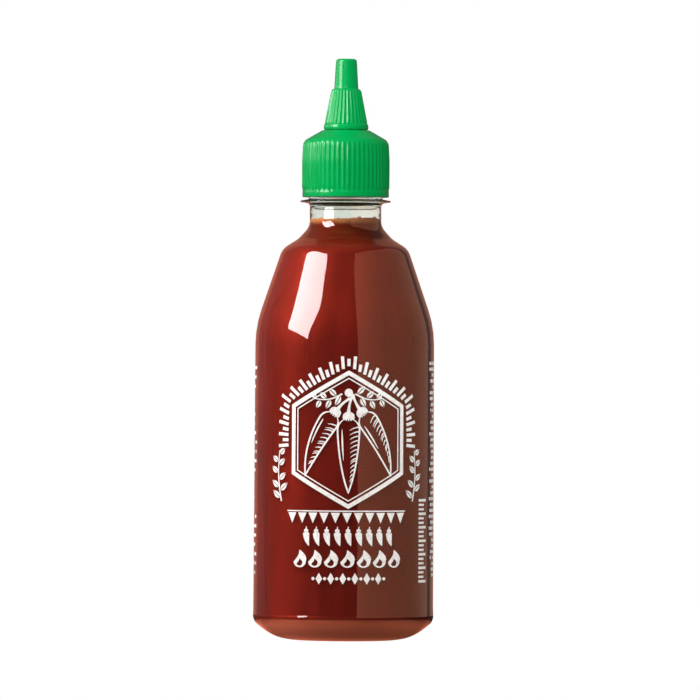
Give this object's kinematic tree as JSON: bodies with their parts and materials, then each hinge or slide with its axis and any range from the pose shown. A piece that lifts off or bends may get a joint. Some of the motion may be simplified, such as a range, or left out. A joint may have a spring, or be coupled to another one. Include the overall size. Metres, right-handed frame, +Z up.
{
  "type": "hot sauce bottle",
  "caption": "Round clear squeeze bottle of red hot sauce with a sloping shoulder, a ribbed green screw closure and a ribbed green twist tip, shut.",
  "frame": {"origin": "middle of the standing ring under the base, on the surface that the bottle stands on", "axes": "+Z up along the bottle's axis, from the base to the twist tip; -Y is the front"},
  "size_m": [0.0662, 0.0662, 0.2128],
  "materials": {
    "clear_plastic": "clear, glossy",
    "sauce": "wet, smooth, opaque",
    "closure_plastic": "semi-gloss",
    "tip_plastic": "semi-gloss"
  },
  "bodies": {
    "root": {"bottle": "clear_plastic", "sauce": "sauce", "closure": "closure_plastic", "twist_tip": "tip_plastic"}
  },
  "joints": []
}
